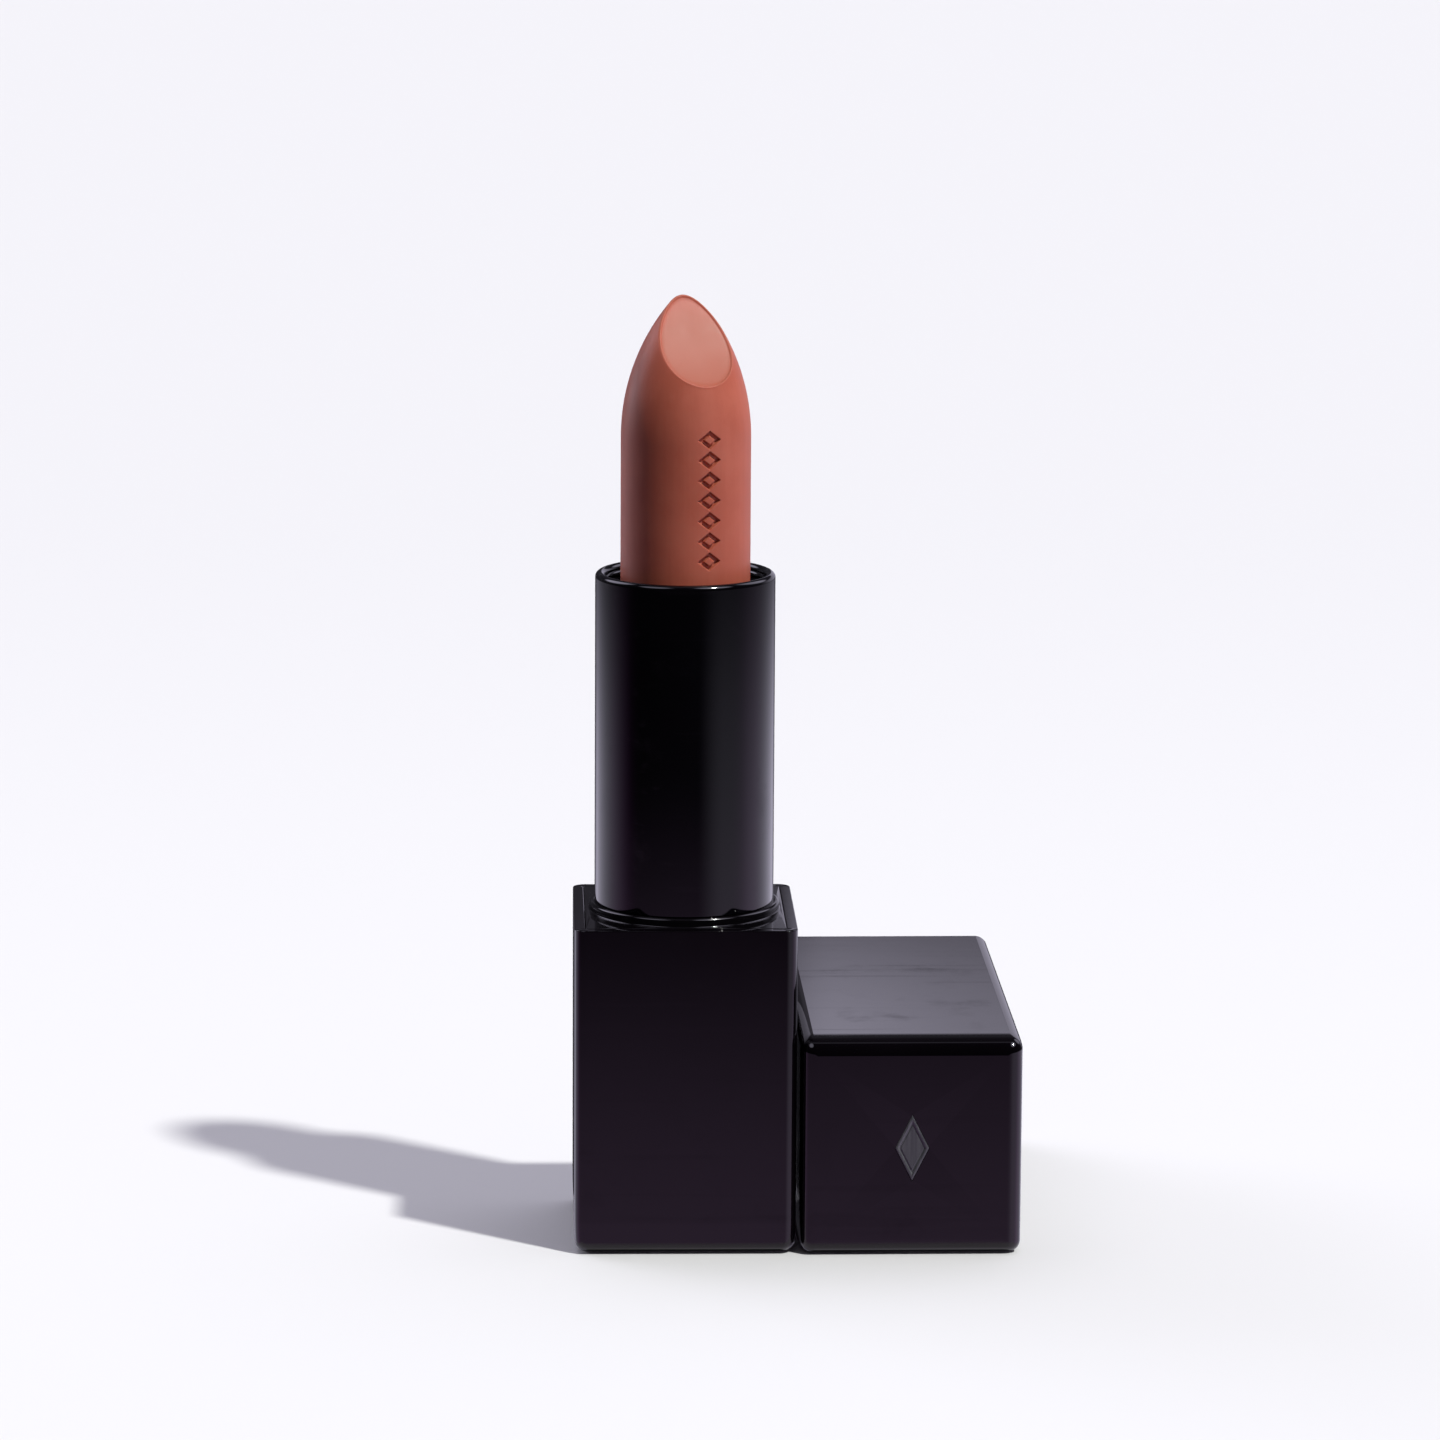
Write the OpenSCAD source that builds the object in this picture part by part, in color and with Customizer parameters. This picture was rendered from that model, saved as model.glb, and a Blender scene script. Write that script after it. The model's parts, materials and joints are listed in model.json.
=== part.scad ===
// Square twist-up lipstick case: base, swivel mechanism and bullet standing open,
// with the cap lying on its side to the right of the base.
// Millimetres, +Z up. The origin is the centre of the base's bottom face.

/* [Case] */
// Width of the square base and of the square cap
case_w = 20.7; // [20.4:0.1:22]
// Radius of the four long edges of the base and the cap
long_edge_r = 1.2; // [0.6:0.1:1.3]
// Radius round the closed end of the base and the cap
end_edge_r = 1.5; // [0.8:0.1:1.8]
// Wall thickness of the outer shells
shell_wall = 1; // [0.8:0.05:1.1]

/* [Base] */
// Height of the base
base_h = 31; // [30:0.5:36]
// Floor thickness of the base shell
base_floor = 1.6; // [1.2:0.1:2]
// Radius of the raised ring round the foot of the tube
collar_r = 8.95; // [8.8:0.05:9]
// Height of the raised ring above the base
collar_h = 0.8; // [0.5:0.1:0.9]
// Height of the steel slug in the base
base_slug_h = 7; // [4:0.5:10]

/* [Tube] */
// Outer radius of the tube
tube_r = 8.4; // [8.35:0.01:8.42]
// Height of the tube's rim above the base
tube_h = 32; // [31:0.5:34]
// Wall thickness of the tube
tube_wall = 0.5; // [0.4:0.05:0.5]
// Radius of the opening inside the rolled lip
mouth_r = 7.45; // [7.3:0.05:7.6]

/* [Mechanism] */
// Travel of the bullet from fully raised to fully lowered
lift = 27.5; // [26.5:0.25:28]
// Turns of the tube over that travel
lift_turns = 1.5; // [1.25:0.25:2]
// Diameter of the two lugs on the cup
lug_d = 1.2; // [1:0.1:1.3]
// Running gap on the radius between turning or sliding pieces
run_gap = 0.08; // [0.05:0.01:0.1]

/* [Bullet] */
// Radius of the lipstick bullet
bullet_r = 6.05; // [5.9:0.05:6.1]
// Height of the bullet's tip above the rim
bullet_reach = 25.8; // [25:0.1:26.5]
// Length of the tapering nose, before it is cut
nose_l = 14.2; // [13.5:0.1:16]
// Height that the cut takes off the point of the nose
nose_cut = 1.1; // [0.8:0.1:1.8]
// Slope of the cut face
cut_slope = 51; // [45:1:60]
// Depth of the hollow in the cut face
cut_hollow = 0.42; // [0.2:0.02:0.6]
// Direction in which the cut face looks down, from the front towards the right
cut_turn = 21; // [0:1:45]

/* [Cap] */
// Length of the cap
cap_l = 44; // [40:0.5:46]
// Depth of the bore that slides over the tube
cap_bore_l = 33.5; // [33:0.5:35]
// Depth from the cap's mouth to the bore
cap_mouth_l = 1; // [0.9:0.1:1.5]
// Gap on the table between the base and the lying cap, at the cap's closed end
cap_gap = 0.4; // [0.4:0.1:10]
// How far the lying cap is turned, its open end towards the base
cap_turn = 0.6; // [0:0.1:0.6]
// How far the cap's closed end stands forward of the base
cap_forward = 0.3; // [0:0.1:5]
// Thickness of the steel plate in the cap
cap_plate_t = 3; // [1:0.5:4]
// Height of the inlaid mark on the cap's end
mark_h = 6.4; // [4:0.1:8]

/* [Hidden] */
$fn = 96;
eps = 0.01;

// Heights, from the table up
foot_z = 18;
foot_h = 3.8;
tube_z0 = foot_z + foot_h + 0.1;
rim_z = base_h + tube_h;
sleeve_top = rim_z - 1.4;
cup_top = rim_z - 2.5;
cup_h = 9;
cup_floor = 0.8;
lug_z = cup_top - cup_h + 1;
tip_z = rim_z + bullet_reach;
cut_l = 10.3;

// Radii, from the axis out
cup_bore = bullet_r + 0.02;
cup_r = cup_bore + 0.45;
sleeve_bore = cup_r + run_gap;
sleeve_r = sleeve_bore + 0.52;
spiral_bore = sleeve_r + run_gap;
tube_bore = tube_r - tube_wall;
spiral_r = tube_bore - 0.02;
groove_r = spiral_r - 0.23;
neck_r = tube_r - 0.25;
insert_bore = neck_r + run_gap;

// Square sizes
inner_w = case_w - 2 * shell_wall;
insert_w = inner_w - 0.06;
lead = lift / lift_turns;

// Where the cap lies
cap_x = case_w + cap_gap;
cap_front_y = -case_w / 2 - cap_forward;

shell_colour = [0.06, 0.05, 0.07];
insert_colour = [0.09, 0.08, 0.1];
tube_colour = [0.12, 0.1, 0.13];
mechanism_colour = [0.2, 0.2, 0.22];
steel_colour = [0.62, 0.63, 0.65];
rubber_colour = [0.25, 0.12, 0.1];
mark_colour = [0.38, 0.38, 0.4];
bullet_colour = [0.74, 0.37, 0.3];
label_colour = [0.93, 0.93, 0.91];

// ---- shared shapes ----

// One rounded corner of an outline, from angle a0 through a quarter turn
function corner_arc(cx, cy, r, a0, steps) =
    [for (i = [0 : steps]) [cx + r * cos(a0 + 90 * i / steps), cy + r * sin(a0 + 90 * i / steps)]];

// Outline of a square with rounded corners
function soft_square(w, r, steps = 5) =
    let (c = w / 2 - r)
    concat(
        corner_arc(c, c, r, 0, steps),
        corner_arc(-c, c, r, 90, steps),
        corner_arc(-c, -c, r, 180, steps),
        corner_arc(c, -c, r, 270, steps)
    );

// Square block with rounded long edges and one rounded end, at z = 0
module soft_block(w, h, long_r, end_r) {
    steps = 6;
    hull() {
        for (i = [0 : steps]) {
            inset = end_r * (1 - sin(90 * i / steps));
            translate([0, 0, end_r * (1 - cos(90 * i / steps))])
                linear_extrude(eps)
                    polygon(soft_square(w - 2 * inset, max(long_r - inset, 0.15)));
        }
        translate([0, 0, h - eps])
            linear_extrude(eps)
                polygon(soft_square(w, long_r));
    }
}

// Round bar with a chamfer on both ends
module chamfered_bar(r, h, chamfer) {
    rotate_extrude()
        polygon([
            [0, 0], [r - chamfer, 0], [r, chamfer],
            [r, h - chamfer], [r - chamfer, h], [0, h]
        ]);
}

// Four upright ribs that centre a round sleeve in a square shell
module corner_ribs(r_in, r_out, h) {
    for (a = [45 : 90 : 315])
        rotate([0, 0, a])
            translate([r_in, -0.4, 0])
                cube([r_out - r_in, 0.8, h]);
}

// Diamond outline, taller than it is wide
module diamond(h) {
    polygon([[h / 4, 0], [0, h / 2], [-h / 4, 0], [0, -h / 2]]);
}

// The lying cap's place: its open end looks along +Y, its closed end along -Y
module lay_cap() {
    translate([cap_x, cap_front_y, case_w / 2])
        rotate([0, 0, cap_turn])
            translate([0, cap_l, 0])
                rotate([90, 0, 0])
                    children();
}

// ---- base ----

module base_casing() {
    color(shell_colour)
        difference() {
            soft_block(case_w, base_h, long_edge_r, end_edge_r);
            translate([-inner_w / 2, -inner_w / 2, base_floor])
                cube([inner_w, inner_w, base_h]);
            translate([0, 0, -1])
                cylinder(r = 6.55, h = 1.15);
        }
}

module shade_label() {
    color(label_colour)
        cylinder(r = 6.5, h = 0.15);
}

module base_weight() {
    color(steel_colour)
        translate([0, 0, base_floor])
            chamfered_bar(9, base_slug_h, 0.5);
}

// Top plate, raised collar and the long socket that carries the mechanism
module base_insert() {
    plate_t = 1.4;
    round_r = 0.25;
    skirt_z = foot_z - 1;
    top_z = base_h + collar_h;
    color(insert_colour)
        difference() {
            union() {
                translate([-insert_w / 2, -insert_w / 2, base_h - plate_t])
                    cube([insert_w, insert_w, plate_t]);
                rotate_extrude()
                    polygon(concat(
                        [[0, skirt_z], [collar_r, skirt_z]],
                        [for (a = [0 : 22.5 : 90]) [
                            collar_r - round_r + round_r * cos(a),
                            top_z - round_r + round_r * sin(a)
                        ]],
                        [[0, top_z]]
                    ));
                translate([0, 0, foot_z])
                    corner_ribs(collar_r - 0.3, inner_w / 2 * sqrt(2) - 0.6, base_h - plate_t - foot_z + eps);
            }
            translate([0, 0, foot_z])
                cylinder(r = insert_bore, h = base_h);
            translate([0, 0, skirt_z - 1])
                cylinder(r = insert_bore - 0.9, h = base_h);
        }
}

// ---- swivel mechanism ----

// Stem with two upright slots, its foot held in the base insert
module inner_sleeve() {
    slot_w = lug_d + 0.12;
    slot_z0 = lug_z - lift - lug_d / 2 - 0.2;
    slot_h = lift + lug_d + 0.4;
    color(mechanism_colour)
        difference() {
            union() {
                translate([0, 0, foot_z])
                    cylinder(r = insert_bore - 0.02, h = foot_h);
                translate([0, 0, foot_z])
                    cylinder(r = sleeve_r, h = sleeve_top - foot_z);
            }
            translate([0, 0, foot_z + 1])
                cylinder(r = sleeve_bore, h = rim_z);
            for (side = [-1, 1])
                translate([side * sleeve_r - 0.8, -slot_w / 2, slot_z0])
                    cube([1.6, slot_w, slot_h]);
        }
}

// Rubber ring that gives the twist its drag
module friction_ring() {
    ring_r = (tube_bore - sleeve_r) / 2 - 0.02;
    color(rubber_colour)
        translate([0, 0, tube_z0 + ring_r + 0.25])
            rotate_extrude()
                translate([(tube_bore + sleeve_r) / 2, 0])
                    circle(r = ring_r, $fn = 48);
}

// Sector that is swept up the helix to cut a groove
module groove_section() {
    half = 0.5 * (lug_d + 0.2) / sin(atan(lead / (2 * PI * spiral_bore))) / spiral_bore * 180 / PI;
    steps = 2;
    polygon(concat(
        [for (i = [0 : steps]) let (a = -half + 2 * half * i / steps) groove_r * [cos(a), sin(a)]],
        [for (i = [steps : -1 : 0]) let (a = -half + 2 * half * i / steps) (sleeve_r - 0.2) * [cos(a), sin(a)]]
    ));
}

// Sleeve with two helical grooves, pressed into the tube
module spiral_sleeve() {
    spiral_z0 = tube_z0 + 1.4;
    run_out = lug_d / 2 + 0.15;
    groove_l = lift + 2 * run_out;
    color(mechanism_colour)
        difference() {
            translate([0, 0, spiral_z0])
                cylinder(r = spiral_r, h = sleeve_top - 0.2 - spiral_z0);
            translate([0, 0, spiral_z0 - 1])
                cylinder(r = spiral_bore, h = rim_z);
            for (start = [0, 180])
                translate([0, 0, lug_z - lift - run_out])
                    rotate([0, 0, start - 360 * (lift + run_out) / lead])
                        linear_extrude(height = groove_l, twist = -360 * groove_l / lead, slices = 96, $fn = 6)
                            groove_section();
        }
}

// Thin drawn tube with a rolled lip, turning round the mechanism
module outer_tube() {
    lip_t = tube_r - mouth_r;
    lip_r = lip_t / 2;
    color(tube_colour)
        rotate_extrude()
            polygon(concat(
                [
                    [tube_bore, tube_z0], [neck_r, tube_z0], [neck_r, base_h + collar_h + 0.1],
                    [tube_r, base_h + collar_h + 0.1]
                ],
                [for (a = [0 : 15 : 180]) [
                    mouth_r + lip_r + lip_r * cos(a),
                    rim_z - lip_r + lip_r * sin(a)
                ]],
                [[mouth_r, rim_z - lip_r - 0.35], [tube_bore, rim_z - lip_r - 0.6]]
            ));
}

// Cup that holds the bullet, with a lug on each side
module bullet_cup() {
    color(mechanism_colour)
        difference() {
            union() {
                translate([0, 0, cup_top - cup_h])
                    cylinder(r = cup_r, h = cup_h);
                for (side = [0, 180])
                    rotate([0, 0, side])
                        translate([cup_r - 0.3, 0, lug_z])
                            rotate([0, 90, 0])
                                cylinder(d = lug_d, h = groove_r - 0.15 - cup_r + 0.3, $fn = 48);
            }
            translate([0, 0, cup_top - cup_h + cup_floor])
                cylinder(r = cup_bore, h = cup_h);
        }
}

// ---- bullet ----

// Round stick with a tapering nose, cut to a slanting, slightly hollow face
module lipstick_bullet() {
    foot = cup_top - cup_h + cup_floor;
    apex_z = tip_z + nose_cut;
    nose_z = apex_z - nose_l;
    arc_r = (nose_l * nose_l + bullet_r * bullet_r) / (2 * bullet_r);
    tip_h = nose_l - nose_cut;
    tip_r = bullet_r - arc_r + sqrt(arc_r * arc_r - tip_h * tip_h);
    cut_r = (cut_l * cut_l / 4 + cut_hollow * cut_hollow) / (2 * cut_hollow);
    steps = 24;
    color(bullet_colour)
        difference() {
            rotate_extrude()
                polygon(concat(
                    [[0, foot], [bullet_r, foot]],
                    [for (i = [0 : steps - 1]) let (h = nose_l * i / steps) [
                        bullet_r - arc_r + sqrt(arc_r * arc_r - h * h),
                        nose_z + h
                    ]],
                    [[0, apex_z]]
                ));
            rotate([0, 0, cut_turn - 90])
                translate([-tip_r, 0, tip_z])
                    rotate([0, cut_slope, 0])
                        translate([cut_l / 2, 0, cut_r - cut_hollow])
                            rotate([90, 0, 0])
                                cylinder(r = cut_r, h = 20, center = true);
        }
}

// ---- cap, drawn upright with its open end at z = 0, then laid down ----

module cap_casing() {
    end_wall = 1.5;
    color(shell_colour)
        lay_cap()
            difference() {
                translate([0, 0, cap_l])
                    mirror([0, 0, 1])
                        soft_block(case_w, cap_l, long_edge_r, end_edge_r);
                translate([-inner_w / 2, -inner_w / 2, -1])
                    cube([inner_w, inner_w, cap_l - end_wall + 1]);
                translate([0, 0, cap_l - 0.3])
                    linear_extrude(1)
                        diamond(mark_h);
            }
}

module cap_liner() {
    flange_t = 1.4;
    end_t = 1;
    liner_r = tube_r + run_gap + 0.52;
    liner_l = cap_bore_l + end_t;
    color(insert_colour)
        lay_cap()
            translate([0, 0, cap_mouth_l])
                difference() {
                    union() {
                        translate([-insert_w / 2, -insert_w / 2, 0])
                            cube([insert_w, insert_w, flange_t]);
                        cylinder(r = liner_r, h = liner_l);
                        translate([0, 0, flange_t - eps])
                            corner_ribs(liner_r - 0.3, inner_w / 2 * sqrt(2) - 0.6, liner_l - flange_t);
                    }
                    translate([0, 0, -1])
                        cylinder(r = tube_r + run_gap, h = cap_bore_l + 1);
                }
}

module cap_weight() {
    plate_w = inner_w - 1.6;
    color(steel_colour)
        lay_cap()
            translate([0, 0, cap_l - 1.5 - cap_plate_t])
                linear_extrude(cap_plate_t)
                    polygon(soft_square(plate_w, 1.5, 3));
}

module cap_emblem() {
    color(mark_colour)
        lay_cap()
            translate([0, 0, cap_l - 0.3])
                difference() {
                    linear_extrude(0.28)
                        diamond(mark_h - 0.04);
                    translate([0, 0, 0.18])
                        linear_extrude(1)
                            difference() {
                                diamond(mark_h * 0.76);
                                diamond(mark_h * 0.6);
                            }
                }
}

base_casing();
base_weight();
base_insert();
shade_label();
inner_sleeve();
friction_ring();
spiral_sleeve();
outer_tube();
bullet_cup();
lipstick_bullet();
cap_casing();
cap_liner();
cap_weight();
cap_emblem();
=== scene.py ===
"""Square twist-up lipstick case, open, with its cap lying beside it. Metres, in the CAD frame."""
import json
from math import atan2, cos, pi, radians, sin, sqrt
import bpy
import bmesh
from mathutils import Matrix, Vector


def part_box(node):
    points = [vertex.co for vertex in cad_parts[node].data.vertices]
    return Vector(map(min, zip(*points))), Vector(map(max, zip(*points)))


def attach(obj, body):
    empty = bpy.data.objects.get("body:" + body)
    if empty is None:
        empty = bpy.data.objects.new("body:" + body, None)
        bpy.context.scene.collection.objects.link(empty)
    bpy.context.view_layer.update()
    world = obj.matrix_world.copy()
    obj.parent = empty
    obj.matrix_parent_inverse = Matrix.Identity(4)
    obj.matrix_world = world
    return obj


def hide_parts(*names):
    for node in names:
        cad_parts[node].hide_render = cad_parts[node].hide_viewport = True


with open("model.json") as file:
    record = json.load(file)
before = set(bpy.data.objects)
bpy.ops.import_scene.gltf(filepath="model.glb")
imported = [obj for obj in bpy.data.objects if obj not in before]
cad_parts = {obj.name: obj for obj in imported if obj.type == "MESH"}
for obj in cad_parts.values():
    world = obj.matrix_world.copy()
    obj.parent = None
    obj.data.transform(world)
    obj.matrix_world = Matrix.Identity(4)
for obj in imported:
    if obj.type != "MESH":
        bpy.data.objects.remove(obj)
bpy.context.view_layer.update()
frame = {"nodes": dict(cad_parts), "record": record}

MM = 0.001
AROUND = 128                       # points in every ring of a round or square piece
QUARTER = AROUND // 4

# ---- sizes read from the frame ----

base_lo, base_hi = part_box("base_casing")
insert_lo, insert_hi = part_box("base_insert")
tube_lo, tube_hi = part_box("outer_tube")
bullet_lo, bullet_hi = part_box("lipstick_bullet")
emblem_lo, emblem_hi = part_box("cap_emblem")
cap_lo, cap_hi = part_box("cap_casing")
label_lo, label_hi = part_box("shade_label")
mounts = {m["name"]: m for m in frame["record"]["mounts"]}

CASE_W = base_hi.x - base_lo.x
BASE_TOP = base_hi.z
BASE_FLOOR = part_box("base_weight")[0].z
INSERT_W = insert_hi.x - insert_lo.x
INNER_W = INSERT_W + 0.06 * MM
LONG_R = 1.2 * MM                  # rounding of the four long edges
END_R = 1.5 * MM                   # rounding round a closed end
COLLAR_TOP = insert_hi.z
COLLAR_R = 8.95 * MM
TUBE_R = tube_hi.x
RIM = tube_hi.z
TUBE_BORE = TUBE_R - 0.5 * MM
NECK_R = TUBE_R - 0.25 * MM
MOUTH_R = 7.45 * MM
BULLET_R = bullet_hi.x
CAP_BORE_R = mounts["cap_bore"]["dims"]["r_mm"] * MM
CAP_BORE_L = mounts["cap_bore"]["dims"]["length_mm"] * MM
CAP_L = 44 * MM
CAP_MOUTH = 1 * MM                 # from the cap's mouth to the liner and its bore

# The cap is made upright with its mouth at z = 0, then laid down along the axis of its bore.
cap_axis = Vector(mounts["cap_bore"]["axis"]).normalized()
CAP_TURN = Matrix.Rotation(atan2(-cap_axis.x, cap_axis.y), 4, "Z")
CAP_PLACE = Matrix.Translation(Vector(mounts["cap_bore"]["pos_m"]) + cap_axis * CAP_MOUTH)
CAP_PLACE = CAP_PLACE @ CAP_TURN @ Matrix.Rotation(radians(90), 4, "X")


# ---- rings and lofts ----

def circle_ring(r, z):
    """A circle of radius r at height z."""
    return [Vector((r * cos(2 * pi * i / AROUND), r * sin(2 * pi * i / AROUND), z)) for i in range(AROUND)]


def square_ring(w, r, z):
    """A square of width w with corners of radius r, its points gathered in the corners."""
    ring = []
    for quarter in range(4):
        turn = quarter * pi / 2
        centre = Vector((w / 2 - r, w / 2 - r, 0))
        centre.rotate(Matrix.Rotation(turn, 3, "Z"))
        for i in range(QUARTER):
            a = turn + pi / 2 * i / (QUARTER - 1)
            ring.append(Vector((centre.x + r * cos(a), centre.y + r * sin(a), z)))
    return ring


def diamond_ring(h, z):
    """A diamond of height h along Y and half that width along X."""
    corners = [Vector((h / 4, 0, z)), Vector((0, h / 2, z)), Vector((-h / 4, 0, z)), Vector((0, -h / 2, z))]
    ring = []
    for quarter in range(4):
        start, end = corners[quarter], corners[(quarter + 1) % 4]
        ring += [start.lerp(end, i / QUARTER) for i in range(QUARTER)]
    return ring


def bridge(bm, low, high):
    """Quads between two loops with the same number of points."""
    for i in range(len(low)):
        j = (i + 1) % len(low)
        bm.faces.new((low[i], low[j], high[j], high[i]))


def fan(bm, loop, point):
    """Triangles from a loop to one point."""
    for i in range(len(loop)):
        bm.faces.new((loop[i], loop[(i + 1) % len(loop)], point))


def loft(name, rings, closed=False, place=None):
    """A smooth solid through rings of points. Its two ends are capped, or joined when closed."""
    bm = bmesh.new()
    loops = [[bm.verts.new(p) for p in ring] for ring in rings]
    pairs = list(zip(loops, loops[1:]))
    if closed:
        pairs.append((loops[-1], loops[0]))
    for low, high in pairs:
        bridge(bm, low, high)
    if not closed:
        bm.faces.new(list(reversed(loops[0])))
        bm.faces.new(loops[-1])
    return finish_mesh(name, bm, place)


def finish_mesh(name, bm, place=None):
    """Turns a bmesh into a smooth-shaded object whose flat faces stay flat."""
    bmesh.ops.recalc_face_normals(bm, faces=bm.faces)
    mesh = bpy.data.meshes.new(name)
    bm.to_mesh(mesh)
    bm.free()
    if place is not None:
        mesh.transform(place)
    mesh.polygons.foreach_set("use_smooth", [True] * len(mesh.polygons))
    piece = bpy.data.objects.new(name, mesh)
    bpy.context.collection.objects.link(piece)
    weighted = piece.modifiers.new("flat_faces_stay_flat", "WEIGHTED_NORMAL")
    weighted.weight = 100
    return piece


def arc(centre_r, centre_z, radius, start, end, steps):
    """(r, z) points round an arc in a piece's section, angles in degrees."""
    points = []
    for i in range(steps + 1):
        a = radians(start + (end - start) * i / steps)
        points.append((centre_r + radius * cos(a), centre_z + radius * sin(a)))
    return points


def revolve(name, section, closed=True, place=None):
    """A turned piece from its (r, z) section."""
    return loft(name, [circle_ring(r, z) for r, z in section], closed, place)


def add_ribs(piece, r_in, r_out, z0, z1, thick, place=None):
    """Four radial ribs at the corners, joined into the piece."""
    bm = bmesh.new()
    bm.from_mesh(piece.data)
    for quarter in range(4):
        turn = Matrix.Rotation(radians(45 + 90 * quarter), 4, "Z")
        size = Matrix.Diagonal((r_out - r_in, thick, z1 - z0, 1))
        where = turn @ Matrix.Translation(((r_in + r_out) / 2, 0, (z0 + z1) / 2)) @ size
        rib = bmesh.ops.create_cube(bm, size=1, matrix=where if place is None else place @ where)
        edges = {e for v in rib["verts"] for e in v.link_edges}
        bmesh.ops.bevel(bm, geom=list(edges), offset=0.08 * MM, segments=2, affect="EDGES")
    bm.to_mesh(piece.data)
    bm.free()
    piece.data.polygons.foreach_set("use_smooth", [True] * len(piece.data.polygons))


# ---- materials ----

class Graph:
    """A node tree, built up by short calls."""

    def __init__(self, tree):
        self.tree = tree

    def node(self, kind, **settings):
        made = self.tree.nodes.new("ShaderNode" + kind)
        for key, value in settings.items():
            if hasattr(made, key):
                setattr(made, key, value)
            else:
                made.inputs[key.replace("_", " ")].default_value = value
        return made

    def link(self, source, target):
        self.tree.links.new(source, target)

    def spread(self, source, low, high, out_low=0.0, out_high=1.0):
        """source between low and high, mapped smoothly to out_low and out_high."""
        made = self.node("MapRange", interpolation_type="SMOOTHSTEP")
        limits = {"From Min": low, "From Max": high, "To Min": out_low, "To Max": out_high}
        for socket, value in limits.items():
            made.inputs[socket].default_value = value
        self.link(source, made.inputs["Value"])
        return made.outputs["Result"]

    def math(self, operation, *values):
        made = self.node("Math", operation=operation)
        for value, socket in zip(values, made.inputs):
            if isinstance(value, (int, float)):
                socket.default_value = value
            else:
                self.link(value, socket)
        return made.outputs[0]

    def total(self, *values):
        result = values[0]
        for value in values[1:]:
            result = self.math("ADD", result, value)
        return result

    def product(self, *values):
        result = values[0]
        for value in values[1:]:
            result = self.math("MULTIPLY", result, value)
        return result


class Shader(Graph):
    """A material's node tree with a Principled shader."""

    def __init__(self, name, colour, roughness, **sockets):
        self.material = bpy.data.materials.new(name)
        self.material.use_nodes = True
        self.material.diffuse_color = (*colour, 1)
        super().__init__(self.material.node_tree)
        self.shader = self.tree.nodes["Principled BSDF"]
        self.shader.inputs["Base Color"].default_value = (*colour, 1)
        self.shader.inputs["Roughness"].default_value = roughness
        for socket, value in sockets.items():
            self.shader.inputs[socket.replace("_", " ")].default_value = value

    def place(self, stretch=(1, 1, 1)):
        """Object coordinates, stretched."""
        coordinates = self.node("TexCoord")
        mapping = self.node("Mapping", Scale=stretch)
        self.link(coordinates.outputs["Object"], mapping.inputs["Vector"])
        return mapping.outputs["Vector"]

    def noise(self, scale, detail=4.0, roughness=0.5, stretch=(1, 1, 1)):
        made = self.node("TexNoise", Scale=scale, Detail=detail, Roughness=roughness)
        self.link(self.place(stretch), made.inputs["Vector"])
        return made.outputs["Fac"]

    def colours(self, factor, first, second):
        """A colour that goes from first to second as factor goes from 0 to 1."""
        made = self.node("Mix", data_type="RGBA")
        made.inputs[6].default_value = (*first, 1)
        made.inputs[7].default_value = (*second, 1)
        self.link(factor, made.inputs[0])
        self.link(made.outputs[2], self.shader.inputs["Base Color"])

    def over(self, factor, colour):
        """Takes the colour so far to another one as factor goes from 0 to 1."""
        made = self.node("Mix", data_type="RGBA")
        made.inputs[7].default_value = (*colour, 1)
        self.link(self.shader.inputs["Base Color"].links[0].from_socket, made.inputs[6])
        self.link(factor, made.inputs[0])
        self.link(made.outputs[2], self.shader.inputs["Base Color"])

    def roughness(self, source):
        self.link(source, self.shader.inputs["Roughness"])

    def outside(self, x, y, low, high):
        """How far (x, y) lies outside a box, or less than 0 within it."""
        size, middle = high - low, (low + high) / 2
        off_x = self.math("ABSOLUTE", self.total(x, -middle.x))
        off_y = self.math("ABSOLUTE", self.total(y, -middle.y))
        far_x = self.math("SUBTRACT", off_x, size.x / 2)
        far_y = self.math("SUBTRACT", off_y, size.y / 2)
        return self.math("MAXIMUM", far_x, far_y)

    def bump(self, height, depth, strength=1.0):
        made = self.node("Bump", Distance=depth, Strength=strength)
        self.link(height, made.inputs["Height"])
        self.link(made.outputs["Normal"], self.shader.inputs["Normal"])


def black_gloss(name, colour, lighter, roughness):
    """Polished black moulding or lacquer: near-mirror, with faint smudges, hairlines and moulding ripple."""
    s = Shader(name, colour, roughness, IOR=1.5)
    cloud = s.noise(95, 3, 0.5)
    s.colours(s.spread(cloud, 0.35, 0.7), colour, lighter)
    smudge = s.spread(s.noise(140, 6, 0.62), 0.52, 0.74, 0.0, roughness * 1.2)
    hairline = s.spread(s.noise(900, 2, 0.4, (0.04, 1, 1)), 0.6, 0.72, 0.0, roughness * 0.8)
    s.roughness(s.total(smudge, hairline, roughness))
    ripple = s.noise(260, 2, 0.4)
    grain = s.noise(5200, 2, 0.5)
    s.bump(s.total(ripple, s.product(grain, 0.03)), 0.004 * MM, 0.22)
    return s.material


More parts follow.
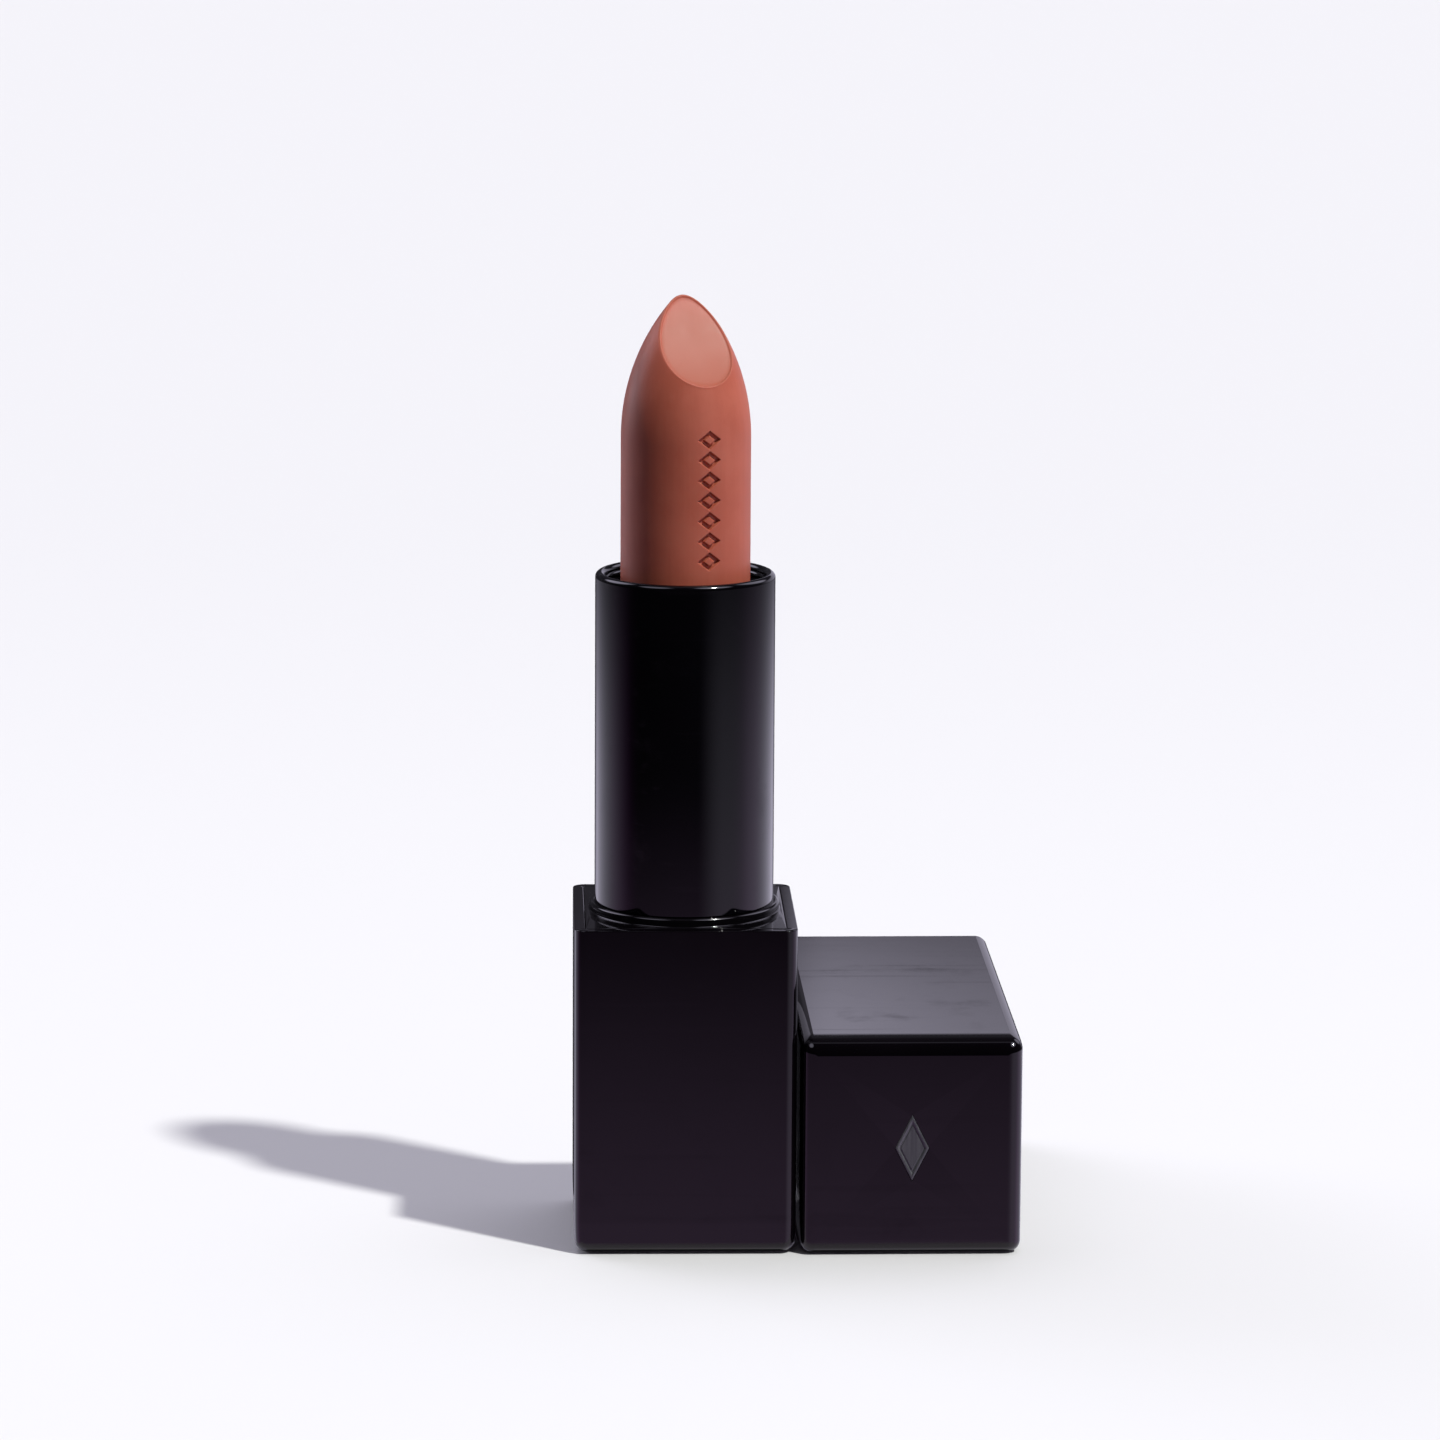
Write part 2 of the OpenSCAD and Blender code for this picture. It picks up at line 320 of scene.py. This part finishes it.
def lipstick_wax():
    """Terracotta rose wax: a soft sheen, light carried under it, draw lines, pits, and painted shade that
    darkens the upward-facing cut face.
    """
    deep, light = (0.51, 0.12, 0.074), (0.57, 0.146, 0.094)
    s = Shader("lipstick_wax", deep, 0.48, IOR=1.4)
    s.shader.inputs["Subsurface Weight"].default_value = 0.22
    s.shader.inputs["Subsurface Radius"].default_value = (1.0, 0.3, 0.2)
    s.shader.inputs["Subsurface Scale"].default_value = 0.5 * MM
    cloud = s.noise(160, 5, 0.55)
    lines = s.noise(1500, 3, 0.5, (1, 1, 0.03))
    mixed = s.total(s.product(cloud, 0.75), s.product(lines, 0.25))
    s.colours(s.spread(mixed, 0.36, 0.64), deep, light)
    # Painted shade: surfaces that face upward, the cut face most of all, get a darker wax colour in place of
    # less light falling on them.
    normal = s.node("SeparateXYZ")
    s.link(s.node("NewGeometry").outputs["Normal"], normal.inputs[0])
    s.over(s.spread(normal.outputs["Z"], 0.5, 0.6), (0.45, 0.115, 0.065))
    pits = s.spread(s.noise(2600, 3, 0.6), 0.32, 0.42)
    s.roughness(s.spread(cloud, 0.3, 0.7, 0.44, 0.52))
    height = s.total(s.product(lines, 0.3), s.product(pits, 0.4), s.product(cloud, 0.6))
    s.bump(height, 0.012 * MM, 0.4)
    return s.material


def dark_moulding():
    """Self-coloured satin plastic of the mechanism, with a fine spark-eroded grain."""
    s = Shader("dark_moulding", (0.018, 0.017, 0.019), 0.4, IOR=1.46)
    cloud = s.noise(300, 4, 0.5)
    s.colours(s.spread(cloud, 0.3, 0.7), (0.014, 0.013, 0.015), (0.026, 0.025, 0.027))
    s.roughness(s.spread(cloud, 0.3, 0.7, 0.32, 0.48))
    s.bump(s.noise(4200, 3, 0.6), 0.01 * MM, 0.6)
    return s.material


def turned_steel():
    """Zinc-plated steel with concentric tool marks."""
    s = Shader("turned_steel", (0.55, 0.56, 0.58), 0.3, Metallic=1.0)
    rings = s.node("TexWave", wave_type="RINGS", rings_direction="Z", Scale=900.0, Distortion=1.2, Detail=3.0)
    s.link(s.place(), rings.inputs["Vector"])
    s.colours(s.spread(s.noise(220, 5, 0.6), 0.3, 0.7), (0.5, 0.5, 0.52), (0.66, 0.67, 0.69))
    s.roughness(s.spread(rings.outputs["Fac"], 0.0, 1.0, 0.24, 0.4))
    s.bump(rings.outputs["Fac"], 0.01 * MM, 0.6)
    return s.material


def silicone():
    """Self-coloured rubber of the friction ring."""
    s = Shader("silicone", (0.22, 0.07, 0.05), 0.55)
    cloud = s.noise(700, 4, 0.6)
    s.colours(s.spread(cloud, 0.3, 0.7), (0.19, 0.06, 0.045), (0.26, 0.09, 0.06))
    s.roughness(s.spread(cloud, 0.3, 0.7, 0.48, 0.62))
    s.bump(cloud, 0.01 * MM, 0.5)
    return s.material


def satin_grey():
    """Dark grey satin metal of the mark on the cap's end."""
    s = Shader("satin_grey", (0.12, 0.12, 0.135), 0.38, Metallic=0.3)
    brushed = s.noise(2600, 3, 0.6, (1, 0.03, 0.03))
    s.colours(s.spread(brushed, 0.3, 0.7), (0.1, 0.1, 0.115), (0.14, 0.14, 0.155))
    s.roughness(s.spread(brushed, 0.3, 0.7, 0.3, 0.46))
    s.bump(brushed, 0.004 * MM, 0.5)
    return s.material


def label_paper():
    """Blank coated sticker with a thin printed ring inside its edge."""
    s = Shader("label_paper", (0.8, 0.8, 0.77), 0.5)
    parts = s.node("SeparateXYZ")
    s.link(s.place(), parts.inputs["Vector"])
    x, y = parts.outputs["X"], parts.outputs["Y"]
    radius = s.math("SQRT", s.total(s.product(x, x), s.product(y, y)))
    off_ring = s.math("ABSOLUTE", s.math("SUBTRACT", radius, 5.6 * MM))
    s.colours(s.spread(off_ring, 0.1 * MM, 0.16 * MM), (0.3, 0.3, 0.32), (0.8, 0.8, 0.77))
    fibre = s.noise(3000, 5, 0.6)
    s.roughness(s.spread(fibre, 0.3, 0.7, 0.42, 0.56))
    s.bump(fibre, 0.008 * MM, 0.5)
    return s.material


SHELL = black_gloss("black_gloss_shell", (0.0016, 0.0009, 0.0018), (0.0024, 0.0014, 0.0027), 0.05)
INSERT = black_gloss("black_insert", (0.0016, 0.0012, 0.0018), (0.0026, 0.002, 0.003), 0.07)
LACQUER = black_gloss("black_lacquered_tube", (0.0012, 0.001, 0.0018), (0.002, 0.0016, 0.0028), 0.06)
WAX = lipstick_wax()
MECHANISM = dark_moulding()
STEEL = turned_steel()
RUBBER = silicone()
GREY = satin_grey()
PAPER = label_paper()


def register(piece, material, slot, body, *nodes):
    """Gives a piece its material, makes it ride its body, and hides the CAD nodes it stands for; slot is not
    used.
    """
    piece.data.materials.append(material)
    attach(piece, body)
    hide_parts(*nodes)
    return piece


# ---- base ----

def closed_end_rings(steps=9):
    """Rings of a shell's rounded closed end, from the flat end face at z = 0 up to its full width."""
    rings = [square_ring(CASE_W - 2 * END_R - 0.06 * MM, 0.05 * MM, 0)]
    turns = [pi / 2 * i / steps for i in range(steps - 1)]
    curve = [(END_R * (1 - sin(a)), END_R * (1 - cos(a))) for a in turns]
    curve += [(0.06 * MM, 1.24 * MM), (0.04 * MM, 1.5 * MM), (0.018 * MM, 2.1 * MM), (0, 3.2 * MM)]
    for inset, z in curve:
        rings.append(square_ring(CASE_W - 2 * inset, max(LONG_R - 0.85 * inset, 0.05 * MM), z))
    return rings


def mouth_rings(length, edge=0.09 * MM, steps=4):
    """Rings over a shell's rim, from its outside round two small edges to its inside."""
    rings = []
    inner_r = 0.35 * MM
    for i in range(steps + 1):
        a = pi / 2 * i / steps
        inset = edge * (1 - cos(a))
        rings.append(square_ring(CASE_W - 2 * inset, LONG_R - inset, length - edge + edge * sin(a)))
    for i in range(steps + 1):
        a = pi / 2 * i / steps
        grow = edge * (1 - sin(a))
        rings.append(square_ring(INNER_W + 2 * grow, inner_r + grow, length - edge + edge * cos(a)))
    return rings


def base_shell():
    """The base's outer shell, with the label's recess underneath."""
    recess_r, recess_t, edge = label_hi.x + 0.05 * MM, label_hi.z, 0.06 * MM
    rings = [circle_ring(recess_r, recess_t), circle_ring(recess_r, edge), circle_ring(recess_r + edge, 0)]
    rings += closed_end_rings() + mouth_rings(BASE_TOP)
    rings += [square_ring(INNER_W, 0.35 * MM, BASE_FLOOR)]
    piece = loft("base_shell", rings)
    return register(piece, SHELL, "black_gloss_shell", "base", "base_casing")


def top_plate():
    """Plate flush in the top of the base, its raised collar, and the socket below."""
    edge, fillet, round_r = 0.05 * MM, 0.12 * MM, 0.26 * MM
    plate_z = BASE_TOP - 1.4 * MM
    bore, ledge = NECK_R + 0.08 * MM, NECK_R + 0.08 * MM - 0.9 * MM
    foot_z = insert_lo.z + 1 * MM
    rings = [square_ring(INSERT_W, 0.3 * MM, plate_z), square_ring(INSERT_W, 0.3 * MM, BASE_TOP - edge)]
    rings += [square_ring(INSERT_W - 2 * edge, 0.3 * MM - edge, BASE_TOP)]
    section = arc(COLLAR_R + fillet, BASE_TOP + fillet, fillet, 270, 180, 4)
    section += arc(COLLAR_R - round_r, COLLAR_TOP - round_r, round_r, 0, 90, 7)
    section += arc(bore + 0.1 * MM, COLLAR_TOP - 0.1 * MM, 0.1 * MM, 90, 180, 3)
    section += [(bore, foot_z), (ledge, foot_z), (ledge, insert_lo.z)]
    section += [(COLLAR_R, insert_lo.z), (COLLAR_R, plate_z)]
    rings += [circle_ring(r, z) for r, z in section]
    piece = loft("top_plate", rings, closed=True)
    add_ribs(piece, COLLAR_R - 0.3 * MM, INNER_W / 2 * sqrt(2) - 0.6 * MM, foot_z, plate_z, 0.8 * MM)
    return register(piece, INSERT, "black_insert", "base", "base_insert")


# ---- tube ----

def swivel_tube():
    """Drawn tube with a rolled lip."""
    lip_r = (TUBE_R - MOUTH_R) / 2
    shoulder = COLLAR_TOP + 0.1 * MM
    section = [(TUBE_BORE, tube_lo.z + 0.06 * MM), (TUBE_BORE + 0.06 * MM, tube_lo.z)]
    section += [(NECK_R - 0.06 * MM, tube_lo.z), (NECK_R, tube_lo.z + 0.06 * MM)]
    section += [(NECK_R, shoulder - 0.04 * MM), (TUBE_R, shoulder)]
    section += arc(MOUTH_R + lip_r, RIM - lip_r, lip_r, 0, 180, 18)
    section += [(MOUTH_R, RIM - lip_r - 0.3 * MM)]
    section += arc(MOUTH_R + 0.2 * MM, RIM - lip_r - 0.3 * MM, 0.2 * MM, 180, 270, 4)
    section += [(TUBE_BORE, RIM - lip_r - 0.6 * MM)]
    piece = revolve("swivel_tube", section)
    return register(piece, LACQUER, "black_tube", "tube", "outer_tube")


# ---- bullet ----

CUT_SLOPE = radians(51)            # the cut face's slope
CUT_TURN = radians(21)             # where it looks down, from the front towards the right
CUT_L = 10.3 * MM                  # from the tip to its low end
CUT_HOLLOW = 0.42 * MM             # depth of the hollow in it
TIP = RIM + 25.8 * MM
NOSE_L = 14.2 * MM
APEX = TIP + 1.1 * MM
PATTERN_TURN = radians(20)         # the pattern's column, from the front towards the right
PATTERN_Z = (RIM + 0.9 * MM, RIM + 14.1 * MM)
PATTERN_W = 2.3 * MM
PATTERN_COUNT = 7
PATTERN_DEPTH = 0.36 * MM


def bullet_radius(z):
    """The uncut stick's radius at a height."""
    arc_r = (NOSE_L ** 2 + BULLET_R ** 2) / (2 * BULLET_R)
    h = max(0.0, min(z, APEX) - (APEX - NOSE_L))
    return BULLET_R - arc_r + sqrt(arc_r ** 2 - h ** 2)


def edge_fall(inside, soft):
    """0 outside a pressed-in shape, rising to 1 over a soft wall as inside grows."""
    t = max(0.0, min(1.0, inside / soft))
    return t * t * (3 - 2 * t)


def pressed_depth(across, z):
    """Depth of the pressed pattern: a column of diamond outlines."""
    low, high = PATTERN_Z
    pitch = (high - low) / PATTERN_COUNT
    if not low <= z <= high or abs(across) > PATTERN_W / 2:
        return 0.0
    up = ((z - low) % pitch) - pitch / 2
    half_h, half_w = pitch * 0.46, PATTERN_W / 2
    size = 1 - abs(up) / half_h - abs(across) / half_w
    line = 0.56
    soft = 0.1
    return PATTERN_DEPTH * edge_fall(min(size, line - size), soft)


def bullet_angles():
    """Angles round the stick, closer together where the pattern is."""
    half = PATTERN_W / 2 / BULLET_R * 1.15
    centre = PATTERN_TURN - pi / 2
    fine, coarse = 64, 120
    angles = [centre - half + 2 * half * i / fine for i in range(fine + 1)]
    rest = 2 * pi - 2 * half
    angles += [centre + half + rest * i / coarse for i in range(1, coarse)]
    return angles


def bullet_heights():
    """Heights up the stick, closer together over the pattern and over the nose."""
    low, high = PATTERN_Z
    heights = [bullet_lo.z + (low - bullet_lo.z) * i / 24 for i in range(24)]
    fine = 260
    heights += [low + (high - low) * i / fine for i in range(fine)]
    nose = 90
    heights += [high + (APEX - high) * (1 - (1 - i / nose) ** 1.6) for i in range(nose)]
    return heights


def cut_frame():
    """The cut face as a matrix: its own X runs down the slope and its Z points out of it."""
    spin = Matrix.Rotation(CUT_TURN - pi / 2, 4, "Z")
    top = Matrix.Translation((-bullet_radius(TIP), 0, TIP))
    return spin @ top @ Matrix.Rotation(CUT_SLOPE, 4, "Y")


def hollow_at(down):
    """Depth of the cut face's hollow, a long arc, at a distance down its slope."""
    arc_r = (CUT_L ** 2 / 4 + CUT_HOLLOW ** 2) / (2 * CUT_HOLLOW)
    return sqrt(max(0.0, arc_r ** 2 - (down - CUT_L / 2) ** 2)) - (arc_r - CUT_HOLLOW)


def bend_cut(bm, place, way):
    """Moves points along the cut's normal so that the hollow cut turns into a flat one, or back."""
    back = place.inverted()
    for v in bm.verts:
        local = back @ v.co
        local.z += way * hollow_at(local.x)
        v.co = place @ local


def finish_the_cut(bm, face, place):
    """Gives the cut face a rounded edge, with a thin raised line inside it."""
    normal = (place.to_3x3() @ Vector((0, 0, 1))).normalized()
    rim = [v for v in face.verts]
    centre = face.calc_center_median_weighted()
    bm.faces.remove(face)
    steps = [(0.06, 0.055), (0.13, 0.095), (0.2, 0.09), (0.26, 0.02), (0.34, 0.0), (0.7, 0.0), (1.6, 0.0)]
    loops = [rim]
    for inset, rise in steps:
        loop = []
        for v in rim:
            towards = centre - v.co
            along = min(inset * MM, towards.length * 0.8)
            loop.append(bm.verts.new(v.co + towards.normalized() * along + normal * rise * MM))
        loops.append(loop)
    for outer, inner in zip(loops, loops[1:]):
        bridge(bm, outer, inner)
    fan(bm, loops[-1], bm.verts.new(centre))


def whole_stick():
    """The stick before it is cut, with its tapering nose and the pattern pressed into its front."""
    angles = bullet_angles()
    centre_angle = PATTERN_TURN - pi / 2
    bm = bmesh.new()
    loops = []
    for z in bullet_heights():
        r = bullet_radius(z)
        foot = max(0.0, 0.35 * MM - (z - bullet_lo.z))
        loop = []
        for a in angles:
            turn = atan2(sin(a - centre_angle), cos(a - centre_angle))
            depth = pressed_depth(turn * r, z)
            radius = r - depth - foot * 0.3
            loop.append(bm.verts.new((radius * cos(a), radius * sin(a), z)))
        loops.append(loop)
    for low, high in zip(loops, loops[1:]):
        bridge(bm, low, high)
    bm.faces.new(list(reversed(loops[0])))
    fan(bm, loops[-1], bm.verts.new((0, 0, APEX)))
    return bm


def cut_the_nose(bm):
    """Cuts the nose off to its hollow slanting face."""
    place = cut_frame()
    normal = place.to_3x3() @ Vector((0, 0, 1))
    bend_cut(bm, place, 1)
    geometry = bm.verts[:] + bm.edges[:] + bm.faces[:]
    plane = {"plane_co": place.translation, "plane_no": normal}
    cut = bmesh.ops.bisect_plane(bm, geom=geometry, clear_outer=True, **plane)
    edges = [e for e in cut["geom_cut"] if isinstance(e, bmesh.types.BMEdge)]
    face = bmesh.ops.contextual_create(bm, geom=edges)["faces"][0]
    face.normal_update()
    if face.normal.dot(normal) < 0:
        face.normal_flip()
    finish_the_cut(bm, face, place)
    bend_cut(bm, place, -1)


def lipstick():
    """The stick, smooth all over."""
    bm = whole_stick()
    cut_the_nose(bm)
    piece = finish_mesh("lipstick", bm)
    piece.modifiers.clear()
    return register(piece, WAX, "lipstick", "carrier", "lipstick_bullet")


# ---- cap ----

def cap_shell():
    """The cap's outer shell with the mark's pocket in its closed end."""
    mark_h = emblem_hi.z - emblem_lo.z + 0.08 * MM
    pocket = 0.3 * MM
    edge = 0.03 * MM
    end = [diamond_ring(mark_h, pocket), diamond_ring(mark_h, edge), diamond_ring(mark_h + 2 * edge, 0)]
    rings = end + closed_end_rings() + mouth_rings(CAP_L)
    rings += [square_ring(INNER_W, 0.35 * MM, 1.5 * MM)]
    flip = Matrix.Translation((0, 0, CAP_L)) @ Matrix.Rotation(pi, 4, "X")
    piece = loft("cap_shell", rings, place=CAP_PLACE @ flip)
    return register(piece, SHELL, "black_gloss_shell", "cap", "cap_casing")


def cap_inner():
    """The liner: square flange just inside the mouth and the round bore behind it."""
    mouth = CAP_MOUTH
    flange, wall, edge = 1.4 * MM, 0.52 * MM, 0.15 * MM
    length = CAP_BORE_L + 1 * MM
    outer = CAP_BORE_R + wall
    rings = [square_ring(INSERT_W, 0.3 * MM, mouth + flange)]
    rings += [square_ring(INSERT_W, 0.3 * MM, mouth + 0.05 * MM)]
    rings += [square_ring(INSERT_W - 0.1 * MM, 0.25 * MM, mouth)]
    section = arc(CAP_BORE_R + edge, mouth + edge, edge, 270, 180, 5)
    section += [(CAP_BORE_R, mouth + CAP_BORE_L - 0.3 * MM)]
    section += arc(CAP_BORE_R - 0.3 * MM, mouth + CAP_BORE_L - 0.3 * MM, 0.3 * MM, 0, 90, 4)
    section += [(0.5 * MM, mouth + CAP_BORE_L), (0.5 * MM, mouth + length)]
    section += [(outer - 0.2 * MM, mouth + length), (outer, mouth + length - 0.2 * MM)]
    section += [(outer, mouth + flange)]
    rings += [circle_ring(r, z) for r, z in section]
    piece = loft("cap_inner", rings, closed=True, place=CAP_PLACE)
    rib_r = INNER_W / 2 * sqrt(2) - 0.6 * MM
    add_ribs(piece, outer - 0.3 * MM, rib_r, mouth + flange, mouth + length, 0.8 * MM, CAP_PLACE)
    return register(piece, INSERT, "black_insert", "cap", "cap_liner")


def cap_mark():
    """Generic diamond set into the cap's closed end, with an engraved line inside its edge."""
    h = emblem_hi.z - emblem_lo.z
    back, front, edge = 0.0, 0.28 * MM, 0.05 * MM
    rings = [diamond_ring(h, back), diamond_ring(h, front - edge), diamond_ring(h - 3 * edge, front)]
    line = [(0.78, 0), (0.765, 0.07), (0.66, 0.07), (0.645, 0)]
    rings += [diamond_ring(h * share, front - depth * MM) for share, depth in line]
    place = CAP_PLACE @ Matrix.Translation((0, 0, CAP_L - 0.3 * MM))
    piece = loft("cap_mark", rings, place=place)
    return register(piece, GREY, "grey_mark", "cap", "cap_emblem")


base_shell()
top_plate()
swivel_tube()
lipstick()
cap_shell()
cap_inner()
cap_mark()

# The inner pieces keep their CAD shapes.
KEPT = {
    "base_weight": STEEL, "cap_weight": STEEL, "shade_label": PAPER, "friction_ring": RUBBER,
    "inner_sleeve": MECHANISM, "spiral_sleeve": MECHANISM, "bullet_cup": MECHANISM,
}
for node, material in KEPT.items():
    mesh = frame["nodes"][node].data
    mesh.materials.clear()
    mesh.materials.append(material)


# ---- floor, light and camera ----

def make_floor():
    """Plain pale sheet all round the case, with painted shade making it a little darker towards the back."""
    reach, steps = 2.6, 64
    turns = [2 * pi * i / steps for i in range(steps)]
    bm = bmesh.new()
    bm.faces.new([bm.verts.new((reach * cos(a), reach * sin(a), 0)) for a in turns])
    mesh = bpy.data.meshes.new("floor")
    bm.to_mesh(mesh)
    bm.free()
    floor = bpy.data.objects.new("floor", mesh)
    bpy.context.collection.objects.link(floor)
    near, far = (0.8, 0.795, 0.812), (0.75, 0.745, 0.765)
    s = Shader("pale_sheet", near, 0.7)
    s.shader.inputs["Specular IOR Level"].default_value = 0.0
    parts = s.node("SeparateXYZ")
    s.link(s.place(), parts.inputs["Vector"])
    x, y = parts.outputs["X"], parts.outputs["Y"]
    # Painted shade: the sheet's colour darkens from near to far, in place of light falling off towards the
    # back.
    s.colours(s.spread(y, -0.05, 0.45), near, far)
    # Reflections show the sheet only close to the case. Beyond that they show the studio through it.
    away = s.math("MINIMUM", s.outside(x, y, base_lo, base_hi), s.outside(x, y, cap_lo, cap_hi))
    glossy = s.node("LightPath").outputs["Is Glossy Ray"]
    clear = s.product(s.spread(away, 0.2 * MM, 2.5 * MM, 0.35, 1), glossy)
    mixed = s.node("MixShader")
    s.link(clear, mixed.inputs[0])
    s.link(s.shader.outputs[0], mixed.inputs[1])
    s.link(s.node("BsdfTransparent").outputs[0], mixed.inputs[2])
    s.link(mixed.outputs[0], s.tree.nodes["Material Output"].inputs["Surface"])
    floor.data.materials.append(s.material)
    floor.visible_diffuse = False


class Studio(Graph):
    """A world that depends on direction: x to the right, y to the back, z up; side and back are level."""

    def __init__(self):
        world = bpy.data.worlds.new("studio")
        bpy.context.scene.world = world
        world.use_nodes = True
        super().__init__(world.node_tree)
        self.tree.nodes.clear()
        parts = self.node("SeparateXYZ")
        self.link(self.node("TexCoord").outputs["Generated"], parts.inputs[0])
        self.x, self.y, self.z = parts.outputs["X"], parts.outputs["Y"], parts.outputs["Z"]
        level_square = self.math("SUBTRACT", 1.0, self.product(self.z, self.z))
        level = self.math("SQRT", self.math("MAXIMUM", level_square, 0.0001))
        self.side = self.math("DIVIDE", self.x, level)
        self.back = self.math("DIVIDE", self.y, level)

    def blob(self, direction, inner, outer):
        """1 round a direction, falling off smoothly to 0; inner and outer are cosines."""
        direction = Vector(direction).normalized()
        near = self.total(*[self.product(a, b) for a, b in zip((self.x, self.y, self.z), direction)])
        return self.spread(near, outer, inner)

    def glow(self, colour, strength):
        """Light of one colour and a strength that may depend on direction."""
        made = self.node("Background", Color=(*colour, 1))
        if isinstance(strength, (int, float)):
            made.inputs["Strength"].default_value = strength
        else:
            self.link(strength, made.inputs["Strength"])
        return made.outputs[0]

    def blend(self, *glows):
        """All the glows added together."""
        result = glows[0]
        for glow in glows[1:]:
            made = self.node("AddShader")
            self.link(result, made.inputs[0])
            self.link(glow, made.inputs[1])
            result = made.outputs[0]
        return result

    def choose(self, factor, first, second):
        """The first where factor is 0, the second where it is 1."""
        made = self.node("MixShader")
        for source, socket in zip((factor, first, second), made.inputs):
            self.link(source, socket)
        return made.outputs[0]


def reflected_studio(w):
    """What the gloss mirrors: a bright sheet behind and beside, dark in front, dim boxes above."""
    low = w.spread(w.z, -0.215, -0.145, 1.0, 0.0)
    off_side = w.math("ABSOLUTE", w.side)
    right = w.product(w.spread(w.side, 0.25, 0.8, 0.0, 0.4), w.spread(w.back, -0.1, 0.4, 1.0, 0.5))
    straight_back = w.product(w.spread(w.back, 0.5, 0.8), w.spread(off_side, 0.15, 0.5, 1.0, 0.0))
    sheet = w.total(w.spread(w.back, -0.33, 0.98, 0.0, 1.15), right)
    sheet = w.product(sheet, low, w.math("SUBTRACT", 1.0, straight_back))
    far_right = w.product(w.spread(w.side, 0.07, 0.11), w.spread(w.z, -0.15, -0.05))
    foot = w.math("MAXIMUM", w.spread(w.z, 0.2, 0.24), far_right)
    wall = w.product(foot, w.spread(w.z, 0.247, 0.285, 1.0, 0.0), w.spread(w.back, 0.3, 0.8))
    wall = w.product(wall, w.spread(w.side, 0.032, 0.05, 0.05, 0.82), w.spread(w.side, 0.04, 0.08, 1.0, 0.68))
    left_box = w.product(w.blob((-0.66, 0.45, 0.6), 0.985, 0.93), 2.6)
    right_box = w.product(w.blob((0.66, 0.45, 0.6), 0.985, 0.93), 1.8)
    key_box = w.product(w.blob((0.45, -0.36, 0.82), 0.98, 0.93), 2.6)
    fill_box = w.product(w.blob((-0.5, -0.36, 0.79), 0.985, 0.94), 1.8)
    off_line = w.math("ABSOLUTE", w.total(w.y, 0.113))
    line_box = w.product(w.spread(off_line, 0.06, 0.11, 0.3, 0.0), w.spread(w.z, 0.85, 0.95))
    haze = w.spread(w.back, -0.6, 0.85, 0.01, 0.05)
    pale = w.total(sheet, wall, left_box, right_box, key_box, fill_box, line_box, haze)
    table_front = w.product(w.spread(w.z, -0.275, -0.2, 0.44, 0.0), w.spread(w.back, 0.0, 0.4, 1.0, 0.0))
    dim = w.product(w.spread(w.back, -0.5, 0.0), w.spread(w.back, 0.2, 0.6, 0.09, 0.0), low)
    glows = (w.glow((0.97, 0.92, 1.15), pale), w.glow((1.0, 0.66, 1.12), table_front))
    return w.blend(*glows, w.glow((1.0, 0.1, 1.1), dim))


def lighting_studio(w):
    """What lights matt surfaces: mostly from overhead, then from the left and the right."""
    overhead = w.product(w.spread(w.z, 0.66, 0.86, 0.0, 1.5), w.spread(w.back, -0.3, 0.3, 0.15, 1.0))
    behind = w.spread(w.back, 0.0, 0.85, 0.0, 0.2)
    right = w.product(w.spread(w.side, 0.2, 0.7, 0.0, 0.75), w.spread(w.z, 0.1, 0.5, 1.0, 0.0))
    left = w.product(w.spread(w.side, -0.7, -0.45, 4.4, 0.0), w.spread(w.back, 0.2, 0.5))
    left = w.product(left, w.spread(w.z, 0.35, 0.6, 1.0, 0.0))
    return w.glow((0.89, 0.87, 1.0), w.total(overhead, behind, right, left, 0.02))


def make_world():
    """Pale studio, seen by the camera as an even light grey-violet."""
    w = Studio()
    path = w.node("LightPath")
    lit = w.choose(path.outputs["Is Glossy Ray"], lighting_studio(w), reflected_studio(w))
    seen = w.choose(path.outputs["Is Camera Ray"], lit, w.glow((0.925, 0.915, 0.955), 1.0))
    out = w.node("OutputWorld")
    w.link(seen, out.inputs["Surface"])


def make_key():
    """Daylight-like key from the front right, above."""
    light = bpy.data.lights.new("key", "SUN")
    light.energy = 2.75
    light.angle = radians(3)
    light.color = (0.99, 1.0, 0.95)
    key = bpy.data.objects.new("key", light)
    bpy.context.collection.objects.link(key)
    travel = Vector((-48.3, 39.2, -88.7))     # the case's tip to the tip of its shadow, in mm
    key.rotation_mode = "QUATERNION"
    key.rotation_quaternion = travel.to_track_quat("-Z", "Y")


def make_camera():
    """Long lens from the front, slightly left of the case and about eleven degrees down."""
    data = bpy.data.cameras.new("camera")
    data.lens, data.sensor_width = 166.93, 36
    data.clip_start, data.clip_end = 0.02, 20
    camera = bpy.data.objects.new("camera", data)
    bpy.context.collection.objects.link(camera)
    aim = Matrix.Rotation(radians(-1.81), 4, "Z") @ Matrix.Rotation(radians(90 - 10.813), 4, "X")
    roll = Matrix.Rotation(radians(0.318), 4, "Z")
    camera.matrix_world = Matrix.Translation((-0.01607, -0.61305, 0.16606)) @ aim @ roll
    bpy.context.scene.camera = camera


make_floor()
make_world()
make_key()
make_camera()
bpy.context.scene.view_settings.view_transform = "Standard"
